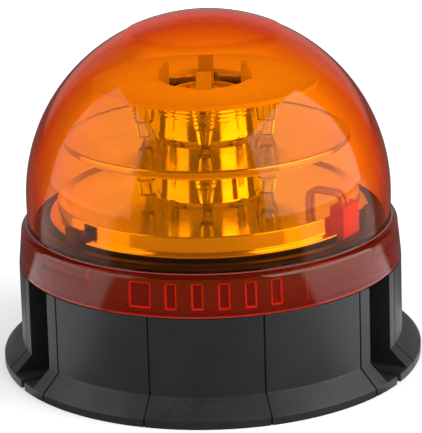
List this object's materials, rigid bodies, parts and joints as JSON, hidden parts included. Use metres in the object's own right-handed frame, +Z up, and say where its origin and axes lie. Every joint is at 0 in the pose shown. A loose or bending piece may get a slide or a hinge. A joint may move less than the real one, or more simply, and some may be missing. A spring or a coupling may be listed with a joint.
{
  "type": "led warning beacon",
  "caption": "Domed amber warning beacon on a round black base with a bolt flange; the clear lens twists on a bayonet over tiered reflectors, boards and a driver.",
  "frame": {"origin": "on the beacon's axis at the underside of the base flange", "axes": "+Z up along the axis through the dome's crown; -Y is the front, with the bolt recesses 60 degrees to each side of it and one at the back"},
  "size_m": [0.1544, 0.1544, 0.1272],
  "materials": {
    "base_plastic": "satin black moulded plastic",
    "cover_plastic": "black moulded plastic",
    "seal_rubber": "black rubber",
    "grommet_rubber": "black rubber",
    "vent_plastic": "dark grey plastic",
    "screw_steel": "zinc plated steel",
    "amber_lens": "clear amber moulded lens",
    "reflector_metal": "vacuum metallised plastic",
    "clip_plastic": "black plastic",
    "board_white": "white solder mask on aluminium board",
    "led_yellow": "phosphor over white package",
    "optic_clear": "clear moulded optic",
    "post_aluminium": "turned aluminium",
    "hub_plastic": "pale plastic",
    "board_green": "green circuit board",
    "inductor_copper": "varnished winding",
    "capacitor_can": "sleeved can",
    "chip_black": "moulded package",
    "terminal_green": "green plastic",
    "connector_red": "red plastic",
    "lead_grey": "insulated wire"
  },
  "bodies": {
    "base": {"base_housing": "base_plastic", "base_cover": "cover_plastic", "cover_seal": "seal_rubber", "cover_screws": "screw_steel", "cable_grommet": "grommet_rubber", "breather_vent": "vent_plastic", "lens_seal": "seal_rubber", "lower_reflector": "reflector_metal", "reflector_clips": "clip_plastic", "lower_led_board": "board_white", "lower_leds": "led_yellow", "lower_optics": "optic_clear", "upper_reflector": "reflector_metal", "upper_led_board": "board_white", "upper_leds": "led_yellow", "upper_optics": "optic_clear", "centre_post": "post_aluminium", "post_screws": "screw_steel", "snap_hub": "hub_plastic", "hub_screw": "screw_steel", "driver_board": "board_green", "driver_screws": "screw_steel", "inductor": "inductor_copper", "capacitors": "capacitor_can", "power_chips": "chip_black", "input_terminal": "terminal_green", "wire_connector": "connector_red", "connector_leads": "lead_grey", "post_leads": "lead_grey"},
    "lens": {"lens_dome": "amber_lens"}
  },
  "joints": [
    {"name": "lens_twist", "type": "hinge", "parent": "base", "child": "lens", "pos_m": [0, 0, 0.045], "axis": [0, 0, 1], "range_deg": [0, 25]}
  ]
}
